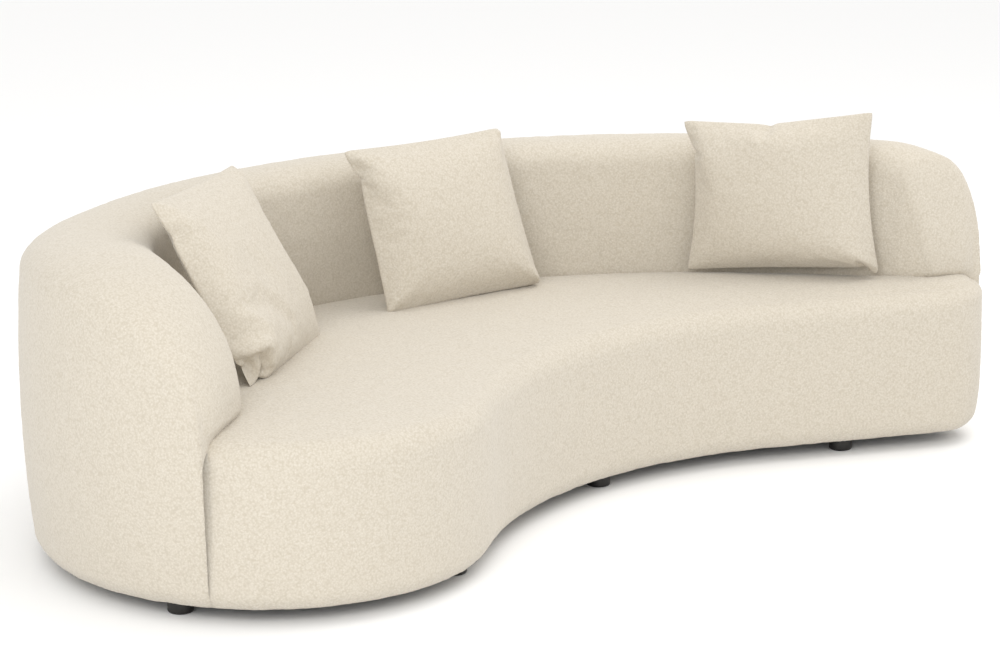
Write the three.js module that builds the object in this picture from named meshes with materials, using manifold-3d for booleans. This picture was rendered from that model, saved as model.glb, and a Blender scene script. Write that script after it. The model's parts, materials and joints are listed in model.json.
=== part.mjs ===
// Curved sofa: a kidney-shaped seat platform inside one continuous back and arm shell, on short
// turned feet, with three loose cushions. Millimetres, +Z up, sitter faces -Y, floor at Z = 0.
// The plan outline is two chains of tangent arcs that start at the front seam, where the back
// shell's cover meets the seat's cover, and meet again at the right end.
import * as THREE from 'three';
import { mergeVertices } from 'three/addons/utils/BufferGeometryUtils.js';
import Module from 'manifold-3d';

const wasm = await Module();
wasm.setup();

const { sin, cos, abs, min, max, hypot, atan2, ceil, PI } = Math;
const rad = (degrees) => (degrees * PI) / 180;
const mix = (a, b, t) => a + (b - a) * t;
const clamp = (value, low = 0, high = 1) => min(max(value, low), high);

// ---------------------------------------------------------------- driving dimensions

const BASE_Z = 40; // lower edge of the upholstery
const SEAT_Z = 430; // top of the seat
const BACK_Z = 797; // crest of the back
const SEAM = { x: -1211.8, y: -431.6 }; // front seam, placed so that the outline is centred
const SEAM_HEADING = 124; // direction of the outline there, degrees from +X

const BACK_SHOULDER = { radius: 620, turn: 98 };
const BACK_SWEEP = { radius: 1650, turn: 96.5 };
const BACK_TIP = { radius: 155, turn: 38.5 };
const FRONT_LOBE = { radius: 525, turn: 94 };
const FRONT_WAIST = { radius: 1070, turn: 63.6 };
const FRONT_CORNER_RADIUS = 135;

const WALL = { left: 225, right: 190, lean: 14 }; // thickness of the back at seat level
const LEFT_ARCH = { length: 628, power: 2.7 }; // how the back comes down to the seat
const RIGHT_ARCH = { length: 90, power: 2.3 };
const RIGHT_SLOPE = { length: 260, drop: 0.17 }; // the crest slopes before the right end
const SHOULDER = { extra: 100, atSeam: 0.45, full: 600, from: 750, gone: 1500 }; // extra padding
const TIP_BLEND = 400; // length over which the wall's sections turn to the end face
const BULGE = { amount: 17, lean: 16, centre: 377 }; // swell of the outside face
const TUCK = { depth: 20, height: 40 }; // how the lower edge pulls in
const TOP_ROUND = 80; // height of the rolled top
const SEAT_ROUND = 58; // rounding of the seat's upper edge

const COVER = 3; // fabric and its backing
const GAP = 1.5; // looseness between layers
const CAVITY = { out: 25.8, inn: 60, roof: 50, end: 50 }; // inside of the back's foam
const BOARD = 4;
const TOUCH = 0.4; // clearance between pieces that touch
const PANEL = { bottom: 46, top: 64, inset: 31 };
const DUST_CLOTH = { bottom: 44, thick: 1.4, inset: 34, footRoom: 3 };
const RAIL = { bottom: 231.5, top: 311.5, thick: 25, endMargin: 70 };
const FRONT_RAIL_INSET = 37;
const BACK_RAIL_INSET = 14;
const CROSS_RAIL = { thick: 30, lower: 5 };
const STRAP = { width: 60, thick: 2.5 };
const POST = { width: 50, depth: 22 };
const TOP_RAIL = { width: 50, depth: 22, lower: 5, from: 110 };
const RIB = { thick: 18, clear: 12, first: 230, last: 300 };
const APRON = { inner: 28, overlap: 15 }; // the seat foam's front, and how far it runs up into the slab
const FOAM_Z = 315; // underside of the seat's foam slab
const HEM = 29; // how far the covers reach in at the lower edge
const LOW_Z = BASE_Z + 12; // lower edge of the foam
const PAST = 30; // how far a cutter reaches beyond what it cuts
const INNER_LEG_Z = SEAT_Z - 60; // where the back's inner side ends, below the seat's top

const FOOT = { radius: 31, height: 45.7, round: 7, bore: 4.3, boreBottom: 18, inset: 82 };
const BOLT = { radius: 4, top: 63.4, gap: 0.6 };
const CUSHION = { width: 500, front: 84, back: 46, edge: 4, gap: 3 };
const CUSHION_SHEET = { thick: 2.5, hem: 8, edge: 1.5 }; // fabric, and how it joins round the edge
const CUSHION_FILLING = { inset: 12, swell: 4, edge: 1.2 };
const ZIP = { length: 360, width: 2, depth: 40 };

// ---------------------------------------------------------------- plan curves

const arc = ({ radius, turn }, side) => ({ length: radius * rad(turn), bend: side / radius });
const line = (length) => ({ length, bend: 0 });

function advance(at, bend, distance) {
  const heading = at.heading + bend * distance;
  if (bend === 0) {
    return { x: at.x + distance * cos(heading), y: at.y + distance * sin(heading), heading };
  }
  const x = at.x + (sin(heading) - sin(at.heading)) / bend;
  const y = at.y - (cos(heading) - cos(at.heading)) / bend;
  return { x, y, heading };
}

function chain(start, parts) {
  const pieces = [];
  let at = start;
  let length = 0;
  for (const part of parts) {
    pieces.push({ ...part, at, from: length });
    at = advance(at, part.bend, part.length);
    length += part.length;
  }
  return { pieces, length, end: at };
}

// Point of a chain at distance s. Past its ends a chain runs on straight.
function along(path, s) {
  if (s < 0) return advance(path.pieces[0].at, 0, s);
  if (s > path.length) return advance(path.end, 0, s - path.length);
  const piece = path.pieces.findLast((candidate) => candidate.from <= s);
  return advance(piece.at, piece.bend, s - piece.from);
}

// Moves a point sideways, to the left of its heading when distance is positive.
const beside = (at, distance) => ({
  x: at.x - distance * sin(at.heading),
  y: at.y + distance * cos(at.heading),
});

const RIGHT = -1;
const LEFT = 1;
const seamPoint = { ...SEAM, heading: rad(SEAM_HEADING) };
const outline = chain(seamPoint, [
  arc(BACK_SHOULDER, RIGHT),
  arc(BACK_SWEEP, RIGHT),
  arc(BACK_TIP, RIGHT),
]);

// The front leaves the seam the other way. Its two straight lengths are what closes the outline.
function closeFront() {
  const start = { ...SEAM, heading: rad(SEAM_HEADING - 180) };
  const bends = [arc(FRONT_LOBE, LEFT), arc(FRONT_WAIST, RIGHT)];
  const waist = chain(start, bends).end;
  const arrival = outline.end.heading + PI;
  const turn = ((arrival - waist.heading) % (2 * PI) + 2 * PI) % (2 * PI);
  const corner = arc({ radius: FRONT_CORNER_RADIUS, turn: (turn * 180) / PI }, LEFT);
  const across = chain({ x: 0, y: 0, heading: waist.heading }, [corner]).end;
  const gapX = outline.end.x - waist.x - across.x;
  const gapY = outline.end.y - waist.y - across.y;
  const a = { x: cos(waist.heading), y: sin(waist.heading) };
  const b = { x: cos(arrival), y: sin(arrival) };
  const det = a.x * b.y - a.y * b.x;
  const first = (gapX * b.y - gapY * b.x) / det;
  const last = (a.x * gapY - a.y * gapX) / det;
  return chain(start, [...bends, line(first), corner, line(last)]);
}
const front = closeFront();

// Stations along a chain, closer together where it bends more.
function stations(path, from, to, turnStep = 10, longest = 200) {
  const list = [];
  let s = from;
  while (s < to - 1) {
    list.push(s);
    const piece = path.pieces.findLast((candidate) => candidate.from <= max(s, 0));
    const step = min(longest, piece.bend === 0 ? longest : rad(turnStep) / abs(piece.bend));
    const pieceEnd = piece.from + piece.length;
    const limit = pieceEnd > s + 1 ? min(pieceEnd, to) : to;
    s += min(step, (limit - s) / ceil((limit - s) / step));
  }
  list.push(to);
  return list;
}

// ---------------------------------------------------------------- back and arm wall

// The wall's own direction: square to the outline, but turning steadily near the right end.
function wallAt(s) {
  const at = along(outline, s);
  const from = outline.length - TIP_BLEND;
  if (s <= from) return at;
  const before = along(outline, from).heading;
  const t = clamp((s - from) / TIP_BLEND);
  return { ...at, heading: mix(before, outline.end.heading, t) };
}

// The wall thins towards the right and is padded thicker inside the left shoulder.
function thickness(s) {
  const grown = mix(SHOULDER.atSeam, 1, sin((PI / 2) * clamp(s / SHOULDER.full)));
  const kept = (1 + cos(PI * clamp((s - SHOULDER.from) / (SHOULDER.gone - SHOULDER.from)))) / 2;
  return mix(WALL.left, WALL.right, clamp(s / outline.length)) + SHOULDER.extra * grown * kept;
}

const archCurve = (x, power) => (1 - clamp(x) ** power) ** (1 / power);

// Height of the wall's crest at s, for a surface that lies `inset` inside the outer one.
function crest(s, inset = 0) {
  const left = archCurve((LEFT_ARCH.length - s) / (LEFT_ARCH.length - inset), LEFT_ARCH.power);
  const rest = outline.length - s;
  const right = archCurve((RIGHT_ARCH.length - rest) / (RIGHT_ARCH.length - inset), RIGHT_ARCH.power);
  const slope = 1 - RIGHT_SLOPE.drop * clamp(1 - rest / RIGHT_SLOPE.length) ** 2;
  return SEAT_Z + (BACK_Z - inset - SEAT_Z) * min(left, right) * slope;
}

function wallStations(inset) {
  const list = [];
  const archSteps = 9;
  const tipSteps = 5;
  for (let i = 0; i < archSteps; i++) {
    const x = cos((PI / 2) * (i / archSteps)) ** (2 / LEFT_ARCH.power);
    list.push(LEFT_ARCH.length - (LEFT_ARCH.length - inset) * x);
  }
  const tip = outline.length - RIGHT_ARCH.length;
  list.push(...stations(outline, LEFT_ARCH.length, tip));
  for (let i = 1; i <= tipSteps; i++) {
    const x = sin((PI / 2) * (i / tipSteps)) ** (2 / RIGHT_ARCH.power);
    list.push(tip + (RIGHT_ARCH.length - inset) * x);
  }
  return list;
}

// Outside face at height z, measured outwards from the outline.
function face(z) {
  const swell = 1 - ((z - BULGE.centre) / (BULGE.centre - BASE_Z)) ** 2;
  const rise = clamp((z - BASE_Z) / (BACK_Z - BASE_Z));
  const tuck = TUCK.depth * clamp(1 - (z - BASE_Z) / TUCK.height) ** 2;
  return BULGE.amount * max(swell, 0) + BULGE.lean * rise - tuck;
}

const innerFace = (s, z) =>
  -thickness(s) + WALL.lean * clamp((z - SEAT_Z) / (BACK_Z - SEAT_Z));

const roundness = (top) => mix(SEAT_ROUND, TOP_ROUND, clamp((top - SEAT_Z) / (BACK_Z - SEAT_Z)));

function outerShoulder(s, roof) {
  const top = crest(s, roof) + roof;
  return top - roundness(top);
}

const THIRDS = [0, 1 / 3, 2 / 3, 1];

// Heights of the points up the outside face, from the lower edge to the shoulder.
function faceLevels(shoulder) {
  const straight = BASE_Z + TUCK.height;
  const low = [BASE_Z, LOW_Z];
  return [...low, ...THIRDS.map((t) => mix(straight, shoulder, t))];
}

// Closed section of the wall at s, as [outward, z] points. An open one reaches below the wall,
// to cut through it, and a raised one stays above its lower edge.
function wallSection(s, { out, inn, roof, open, raised }) {
  const top = crest(s, roof);
  const shoulder = outerShoulder(s, roof);
  const innerTop = max(SEAT_Z, top + roof - TOP_ROUND);
  const levels = faceLevels(shoulder).slice(raised ? 1 : 0);
  const bottom = open ? BASE_Z - TUCK.height : levels[0];
  const points = levels.map((z) => [face(z) - out, z]);
  if (open) points.unshift([face(BASE_Z) - out, bottom]);
  const outer = face(shoulder) - out;
  const inner = innerFace(s, innerTop) + inn;
  const middle = (outer + inner) / 2;
  const steps = 3;
  for (let i = 1; i <= steps; i++) {
    const a = (PI / 2) * (i / steps);
    points.push([middle + (outer - middle) * cos(a), shoulder + (top - shoulder) * sin(a)]);
  }
  for (let i = 1; i <= steps; i++) {
    const a = (PI / 2) * (i / steps);
    points.push([middle - (middle - inner) * sin(a), innerTop + (top - innerTop) * cos(a)]);
  }
  points.push([-thickness(s) + inn, INNER_LEG_Z]);
  points.push([-thickness(s) + inn, bottom]);
  return points;
}

const wallPoint = (s, [outward, z]) => {
  const p = beside(wallAt(s), outward);
  return new THREE.Vector3(p.x, p.y, z);
};

// Lofts a wall solid through the given stations.
function wallLoft(list, sectionAt) {
  const flat = list.map((s) => sectionAt(s));
  const sections = flat.map((points, i) => points.map((p) => wallPoint(list[i], p)));
  return loft(sections, flat[0], flat.at(-1));
}

// ---------------------------------------------------------------- seat outline

const frontAt = (s, inset) => beside(along(front, s), inset);

// Plan outline of the seat, inset from the front, from the back wall and from its end faces.
function seatOutline(inset, behind, end) {
  const points = stations(front, 0, front.length).map((s) => {
    return frontAt(mix(end, front.length - end, s / front.length), inset);
  });
  const back = wallStations(0).reverse();
  const rightCorner = advance(wallAt(outline.length), 0, end);
  points.push(beside(rightCorner, -thickness(outline.length) - behind));
  points.push(...back.map((s) => beside(wallAt(s), -thickness(s) - behind)));
  points.push(beside(advance(seamPoint, 0, -end), -thickness(0) - behind));
  return points;
}

// Lofts the seat's outline upwards. Each level gives its height and its inset from the front.
function seatLoft(levels, behind, end) {
  const rings = levels.map(([z, inset]) => seatOutline(inset, behind, end).map((p) => [p.x, p.y, z]));
  const sections = rings.map((ring) => ring.map((p) => new THREE.Vector3(...p)));
  return loft(sections, rings[0], rings.at(-1));
}

function roundedEdge(inset, top) {
  const radius = SEAT_ROUND - (SEAT_Z - top);
  const steps = 4;
  const levels = [];
  for (let i = 0; i <= steps; i++) {
    const a = (PI / 2) * (i / steps);
    levels.push([top - radius + radius * sin(a), inset + radius * (1 - cos(a))]);
  }
  return levels;
}

// ---------------------------------------------------------------- solids

// Joins closed sections that have equal numbers of points, and caps both ends.
function loft(sections, firstCap, lastCap) {
  const count = sections[0].length;
  const positions = sections.flat().flatMap((p) => [p.x, p.y, p.z]);
  const index = [];
  for (let i = 0; i < sections.length - 1; i++) {
    for (let j = 0; j < count; j++) {
      const a = i * count + j;
      const b = i * count + ((j + 1) % count);
      index.push(a, b, b + count, a, b + count, a + count);
    }
  }
  const cap = (points) =>
    THREE.ShapeUtils.triangulateShape(points.map(([x, y]) => new THREE.Vector2(x, y)), []);
  const last = (sections.length - 1) * count;
  const clockwise = THREE.ShapeUtils.area(firstCap.map(([x, y]) => new THREE.Vector2(x, y))) < 0;
  for (const [a, b, c] of cap(firstCap)) index.push(...(clockwise ? [a, b, c] : [c, b, a]));
  for (const [a, b, c] of cap(lastCap)) {
    index.push(...(clockwise ? [c, b, a] : [a, b, c]).map((k) => k + last));
  }
  const geometry = new THREE.BufferGeometry();
  geometry.setAttribute('position', new THREE.Float32BufferAttribute(positions, 3));
  geometry.setIndex(index);
  return facingOut(geometry);
}

function volume(geometry) {
  const p = geometry.attributes.position;
  const i = geometry.index;
  const [a, b, c] = [new THREE.Vector3(), new THREE.Vector3(), new THREE.Vector3()];
  let total = 0;
  for (let k = 0; k < i.count; k += 3) {
    a.fromBufferAttribute(p, i.getX(k));
    b.fromBufferAttribute(p, i.getX(k + 1));
    c.fromBufferAttribute(p, i.getX(k + 2));
    total += a.dot(b.cross(c)) / 6;
  }
  return total;
}

function facingOut(geometry) {
  if (volume(geometry) < 0) geometry.setIndex([...geometry.index.array].reverse());
  return geometry;
}

function solid(geometry) {
  const bare = geometry.clone();
  bare.deleteAttribute('normal');
  bare.deleteAttribute('uv');
  const merged = mergeVertices(bare, 1e-3);
  return new wasm.Manifold(
    new wasm.Mesh({
      numProp: 3,
      vertProperties: new Float32Array(merged.attributes.position.array),
      triVerts: new Uint32Array(merged.index.array),
    }),
  );
}

function meshGeometry(body) {
  const mesh = body.getMesh();
  const geometry = new THREE.BufferGeometry();
  geometry.setAttribute('position', new THREE.BufferAttribute(mesh.vertProperties, 3));
  geometry.setIndex(new THREE.BufferAttribute(mesh.triVerts, 1));
  return geometry;
}

// First geometry less all the others. Offcuts are dropped.
function cut(geometry, ...tools) {
  let body = solid(geometry);
  for (const tool of tools) body = body.subtract(solid(tool));
  const pieces = body.decompose();
  return meshGeometry(pieces.reduce((a, b) => (b.volume() > a.volume() ? b : a)));
}

// Flat plate with an outline in plan and round holes.
function plate(points, bottom, top, holes = [], holeRadius = 0) {
  const shape = new THREE.Shape(points.map((p) => new THREE.Vector2(p.x, p.y)));
  for (const hole of holes) {
    const path = new THREE.Path();
    path.absarc(hole.x, hole.y, holeRadius, 0, 2 * PI, true);
    shape.holes.push(path);
  }
  const options = { depth: top - bottom, bevelEnabled: false, curveSegments: 5 };
  return new THREE.ExtrudeGeometry(shape, options).translate(0, 0, bottom);
}

// Straight bar between two plan points.
function bar(a, b, width, bottom, top) {
  const length = hypot(b.x - a.x, b.y - a.y);
  return new THREE.BoxGeometry(length, width, top - bottom)
    .rotateZ(atan2(b.y - a.y, b.x - a.x))
    .translate((a.x + b.x) / 2, (a.y + b.y) / 2, (bottom + top) / 2);
}

// Bent strip of rectangular section that follows the front.
function frontStrip(from, to, nearInset, farInset, bottom, top) {
  const list = stations(front, from, to);
  const sections = list.map((s) =>
    [[nearInset, bottom], [nearInset, top], [farInset, top], [farInset, bottom]].map(([d, z]) => {
      const p = frontAt(s, d);
      return new THREE.Vector3(p.x, p.y, z);
    }),
  );
  const section = [[0, 0], [0, 1], [1, 1], [1, 0]];
  return loft(sections, section, section);
}

// ---------------------------------------------------------------- materials

const finish = (color, roughness, metalness = 0) => ({ color, roughness, metalness });
const BOUCLE = finish(0xd9d2c4, 0.95);
const FOAM = finish(0xe6dba8, 0.9);
const PLYWOOD = finish(0xc9a877, 0.7);
const SOFTWOOD = finish(0xd8b98a, 0.75);
const HARDBOARD = finish(0x7a5a3c, 0.8);
const BLACK_WOOD = finish(0x17130f, 0.42);
const STEEL = finish(0xb4b6b8, 0.35, 1);
const WEBBING = finish(0x3a3d40, 0.85);
const BLACK_CLOTH = finish(0x202020, 0.95);
const WADDING = finish(0xf2f0ea, 0.95);

const sofa = new THREE.Group();

function add(name, geometry, look, parent = sofa) {
  const mesh = new THREE.Mesh(geometry, new THREE.MeshStandardMaterial(look));
  mesh.name = name;
  parent.add(mesh);
  return mesh;
}

// ---------------------------------------------------------------- base and feet

// Feet stand just inside the outline, as shares of the front's and of the back's length.
const FRONT_FEET = [0.285, 0.56, 0.815];
const BACK_FEET = [0.03, 0.28, 0.56, 0.83];
const feet = [
  ...FRONT_FEET.map((share) => frontAt(front.length * share, FOOT.inset)),
  ...BACK_FEET.map((share) => beside(wallAt(outline.length * share), -FOOT.inset)),
];

function planOutline(inset) {
  const back = stations(outline, 0, outline.length).slice(0, -1);
  const rear = back.map((s) => beside(along(outline, s), -inset));
  const fore = stations(front, 0, front.length).slice(1).reverse();
  return [...rear, ...fore.map((s) => frontAt(s, inset))].reverse();
}

function footProfile() {
  const { radius, height, round, bore, boreBottom } = FOOT;
  const steps = 2;
  const points = [new THREE.Vector2(0, 0)];
  for (let i = 0; i <= steps; i++) {
    const a = (PI / 2) * (i / steps);
    points.push(new THREE.Vector2(radius - round + round * sin(a), round - round * cos(a)));
  }
  points.push(new THREE.Vector2(radius, height), new THREE.Vector2(bore, height));
  points.push(new THREE.Vector2(bore, boreBottom), new THREE.Vector2(0, boreBottom));
  return points;
}

// A lathe turns about Y, so its solid is stood up on Z.
const turned = (profile, sides) => facingOut(
  mergeVertices(stripped(new THREE.LatheGeometry(profile, sides).rotateX(PI / 2)), 1e-3),
);

function stripped(geometry) {
  geometry.deleteAttribute('normal');
  geometry.deleteAttribute('uv');
  return geometry;
}

const basePanel = plate(planOutline(PANEL.inset), PANEL.bottom, PANEL.top, feet, FOOT.bore);
add('base_panel', basePanel, PLYWOOD);
const dustTop = DUST_CLOTH.bottom + DUST_CLOTH.thick;
const dustHole = FOOT.radius + DUST_CLOTH.footRoom;
add('dust_cover', plate(planOutline(DUST_CLOTH.inset), DUST_CLOTH.bottom, dustTop, feet, dustHole), BLACK_CLOTH);

feet.forEach((at, i) => {
  const foot = add(`foot_${i + 1}`, turned(footProfile(), 12), BLACK_WOOD);
  foot.position.set(at.x, at.y, 0);
  const length = BOLT.top - FOOT.boreBottom - BOLT.gap;
  const shank = new THREE.CylinderGeometry(BOLT.radius, BOLT.radius, length, 8).rotateX(PI / 2);
  const bolt = add(`foot_bolt_${i + 1}`, shank, STEEL);
  bolt.position.set(at.x, at.y, BOLT.top - length / 2);
});

// ---------------------------------------------------------------- back frame

const RIBS = 6;

const frameEnd = CAVITY.end + RIB.clear;
const cavityStations = wallStations(CAVITY.end).filter((s) => {
  return s > frameEnd && s < outline.length - frameEnd;
});

function ribShape(s) {
  const half = RIB.thick / 2;
  const sides = [s - half, s + half].map((place) => outerShoulder(place, CAVITY.roof));
  const shoulder = min(...sides) - RIB.clear;
  const bottom = PANEL.top + TOUCH;
  const outer = THIRDS.map((t) => {
    const z = mix(BASE_Z + TUCK.height, shoulder, t);
    return [face(z) - CAVITY.out - RIB.clear, z];
  });
  const inner = [
    [innerFace(s, shoulder) + CAVITY.inn + RIB.clear, shoulder],
    [innerFace(s, bottom) + CAVITY.inn + RIB.clear, bottom],
  ];
  return [[face(LOW_Z) - CAVITY.out - RIB.clear, bottom], ...outer, ...inner];
}

// A plate that stands square across the wall at s.
function rib(s) {
  const at = wallAt(s);
  const shape = new THREE.Shape(ribShape(s).map(([n, z]) => new THREE.Vector2(n, z)));
  const geometry = new THREE.ExtrudeGeometry(shape, { depth: RIB.thick, bevelEnabled: false });
  const outward = new THREE.Vector3(-sin(at.heading), cos(at.heading), 0);
  const up = new THREE.Vector3(0, 0, 1);
  const across = outward.clone().cross(up);
  const frame = new THREE.Matrix4().makeBasis(outward, up, across);
  frame.setPosition(new THREE.Vector3(at.x, at.y, 0).addScaledVector(across, -RIB.thick / 2));
  return geometry.applyMatrix4(frame);
}

for (let i = 0; i < RIBS; i++) {
  const place = mix(RIB.first, outline.length - RIB.last, i / (RIBS - 1));
  add(`back_rib_${i + 1}`, rib(place), PLYWOOD);
}

add('back_top_rail', wallLoft(cavityStations.filter((s) => s > TOP_RAIL.from), (s) => {
  const top = crest(s, CAVITY.roof) - TOP_RAIL.lower;
  const bottom = top - TOP_RAIL.depth;
  const middle = (innerFace(s, BACK_Z) + CAVITY.inn + face(BACK_Z) - CAVITY.out) / 2;
  const [near, far] = [middle + TOP_RAIL.width / 2, middle - TOP_RAIL.width / 2];
  return [[near, bottom], [near, top], [far, top], [far, bottom]];
}), SOFTWOOD);

const boardTop = (s) => outerShoulder(s, CAVITY.roof) - BOARD;

add('outer_back_board', wallLoft(cavityStations, (s) => {
  const levels = THIRDS.map((t) => mix(BASE_Z + TUCK.height, boardTop(s), t));
  const outside = levels.map((z) => [face(z) - CAVITY.out - GAP, z]);
  return [...outside, ...outside.toReversed().map(([n, z]) => [n - BOARD, z])];
}), HARDBOARD);

add('inner_back_board', wallLoft(cavityStations, (s) => {
  const levels = [RAIL.top, boardTop(s)];
  const inside = levels.map((z) => [innerFace(s, z) + CAVITY.inn + 4 * GAP, z]);
  return [...inside, ...inside.toReversed().map(([n, z]) => [n + BOARD, z])];
}), HARDBOARD);

// ---------------------------------------------------------------- back upholstery

const everywhere = (inset) => ({ out: inset, inn: inset, roof: inset });

function wallSolid(inset, options = {}) {
  const measures = { ...everywhere(inset), ...options };
  return wallLoft(wallStations(options.end ?? inset), (s) => wallSection(s, measures));
}

// Everything of the wall's inner side below the seat's top, inwards of the given place.
function innerLegCutter(place) {
  const list = [-PAST, ...wallStations(0), outline.length + PAST];
  return wallLoft(list, (s) => {
    const far = -thickness(s) - PAST;
    const bottom = BASE_Z - PAST;
    return [[place(s), bottom], [place(s), INNER_LEG_Z], [far, INNER_LEG_Z], [far, bottom]];
  });
}

const panelRoom = plate(planOutline(PANEL.inset - GAP), PANEL.bottom - TOUCH, PANEL.top + TOUCH);
const backCavity = wallSolid(0, { ...CAVITY, open: true });
const legRoom = innerLegCutter((s) => -thickness(s) + CAVITY.inn + GAP);

// The back's foam is glued up from blocks, shorter where the wall bends more. A joint is at the
// station nearest to its place, so that the foam nests in the cover.
const shoulderEnd = outline.pieces[1].from;
const tipStart = outline.length - TIP_BLEND;
const foamInset = COVER + GAP;
const foamStations = wallStations(foamInset);
const nearestStation = (place) =>
  foamStations.reduce((best, s) => (abs(s - place) < abs(best - place) ? s : best));
const backJoints = [
  0,
  ...[1, 2].map((i) => mix(0, shoulderEnd, i / 3)),
  ...[0, 1, 2, 3, 4].map((i) => mix(shoulderEnd, tipStart, i / 5)),
  tipStart,
  outline.length,
].map(nearestStation);

function backBlock(from, to) {
  const inner = foamStations.filter((s) => s > from && s < to);
  const begin = from + (from > foamStations[0] ? TOUCH : 0);
  const measures = { ...everywhere(foamInset), raised: true };
  const whole = wallLoft([begin, ...inner, to], (s) => wallSection(s, measures));
  return cut(whole, backCavity, legRoom, panelRoom);
}

backJoints.slice(1).forEach((end, i) => {
  add(`back_foam_${i + 1}`, backBlock(backJoints[i], end), FOAM);
});
add('back_cover', cut(wallSolid(0), wallSolid(COVER, { open: true }), innerLegCutter(() => -HEM)), BOUCLE);

// ---------------------------------------------------------------- seat frame

const railMiddle = FRONT_RAIL_INSET + RAIL.thick / 2;
const frontRailArgs = [RAIL.endMargin, front.length - RAIL.endMargin];

function backStrip(near, far, bottom, top) {
  const list = stations(outline, RAIL.endMargin, outline.length - RAIL.endMargin);
  return wallLoft(list, (s) => {
    const inner = -thickness(s);
    return [[inner - near, bottom], [inner - near, top], [inner - far, top], [inner - far, bottom]];
  });
}

const frontRail = (grow = 0) => frontStrip(...frontRailArgs, FRONT_RAIL_INSET - grow,
  FRONT_RAIL_INSET + RAIL.thick + grow, RAIL.bottom - grow, RAIL.top + grow);
const backRail = (grow = 0) => backStrip(BACK_RAIL_INSET - grow,
  BACK_RAIL_INSET + RAIL.thick + grow, RAIL.bottom - grow, RAIL.top + grow);
add('seat_front_rail', frontRail(), SOFTWOOD);
add('seat_back_rail', backRail(), SOFTWOOD);

// Place along the back wall that faces a place on the front.
const SEARCH = { first: 0.08, step: 0.01, count: 86 }; // shares of the wall's length
function opposite(s) {
  const at = along(front, s);
  const share = (i) => SEARCH.first + i * SEARCH.step;
  const places = Array.from({ length: SEARCH.count }, (_, i) => outline.length * share(i));
  const aside = (place) => {
    const p = beside(wallAt(place), -thickness(place));
    return abs((p.x - at.x) * cos(at.heading) + (p.y - at.y) * sin(at.heading));
  };
  return places.reduce((best, place) => (aside(place) < aside(best) ? place : best));
}

// Lines across the seat, from places on the front (as shares of its length) to the back wall.
const spans = (shares, frontInset, backInset) => shares.map((share) => {
  const s = opposite(front.length * share);
  return [frontAt(front.length * share, frontInset), beside(wallAt(s), -thickness(s) - backInset)];
});
const backMiddle = BACK_RAIL_INSET + RAIL.thick / 2;

spans([0.2, 0.46, 0.76], railMiddle, backMiddle).forEach(([a, b], i) => {
  const whole = bar(a, b, CROSS_RAIL.thick, RAIL.bottom + CROSS_RAIL.lower, RAIL.top - CROSS_RAIL.lower);
  add(`seat_cross_rail_${i + 1}`, cut(whole, frontRail(TOUCH), backRail(TOUCH)), SOFTWOOD);
});

spans([0.37, 0.55, 0.66], railMiddle, backMiddle).forEach(([a, b], i) => {
  const strap = bar(a, b, STRAP.width, RAIL.top + TOUCH, RAIL.top + TOUCH + STRAP.thick);
  add(`seat_strap_${i + 1}`, strap, WEBBING);
});

function post(at) {
  return new THREE.BoxGeometry(POST.width, POST.depth, RAIL.bottom - PANEL.top - 2 * TOUCH)
    .rotateZ(at.heading)
    .translate(at.x, at.y, (RAIL.bottom + PANEL.top) / 2);
}
const frontPosts = [0.3, 0.68].map((t) => {
  const at = along(front, front.length * t);
  return { ...beside(at, railMiddle), heading: at.heading };
});
const backPosts = [0.34, 0.7].map((t) => {
  const at = wallAt(outline.length * t);
  return { ...beside(at, -thickness(outline.length * t) - backMiddle), heading: at.heading };
});
[...frontPosts, ...backPosts].forEach((at, i) => add(`seat_post_${i + 1}`, post(at), SOFTWOOD));

// ---------------------------------------------------------------- seat upholstery

const boardInset = APRON.inner + 2 * GAP;
const boardMargin = 10;
add('front_board', frontStrip(boardMargin, front.length - boardMargin, boardInset, boardInset + BOARD,
  PANEL.top + TOUCH, RAIL.top), HARDBOARD);

// Foam over the seat's front, from the lower edge up into the slab.
function apron() {
  const tuck = TUCK.depth * (1 - (LOW_Z - BASE_Z) / TUCK.height) ** 2;
  const top = FOAM_Z + APRON.overlap;
  const section = [[foamInset + tuck, LOW_Z], [foamInset, BASE_Z + TUCK.height], [foamInset, top],
    [APRON.inner, top], [APRON.inner, LOW_Z]];
  const list = stations(front, foamInset, front.length - foamInset);
  const sections = list.map((s) => section.map(([d, z]) => {
    const p = frontAt(s, d);
    return new THREE.Vector3(p.x, p.y, z);
  }));
  return loft(sections, section, section);
}

// Everything to one side of the upright plane through two plan points.
function beyond(a, b, side) {
  const reach = 4000;
  const heading = atan2(b.y - a.y, b.x - a.x);
  const centre = beside({ ...a, heading }, side * (reach - TOUCH) / 2);
  return new THREE.BoxGeometry(reach, reach, reach).rotateZ(heading).translate(centre.x, centre.y, 0);
}

// The seat's foam is cut square across into blocks, so that each follows its stretch of the front.
const seatSlab = seatLoft([[FOAM_Z, foamInset], ...roundedEdge(foamInset, SEAT_Z - foamInset)],
  foamInset, foamInset);
const seatFoam = cut(meshGeometry(solid(seatSlab).add(solid(apron()))), panelRoom);
const seatJoints = spans([0.31, 0.45, 0.6, 0.74], 0, 0);
for (let i = 0; i <= seatJoints.length; i++) {
  const sides = [];
  if (i > 0) sides.push(beyond(...seatJoints[i - 1], LEFT));
  if (i < seatJoints.length) sides.push(beyond(...seatJoints[i], RIGHT));
  add(`seat_foam_${i + 1}`, cut(seatFoam, ...sides), FOAM);
}

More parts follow.
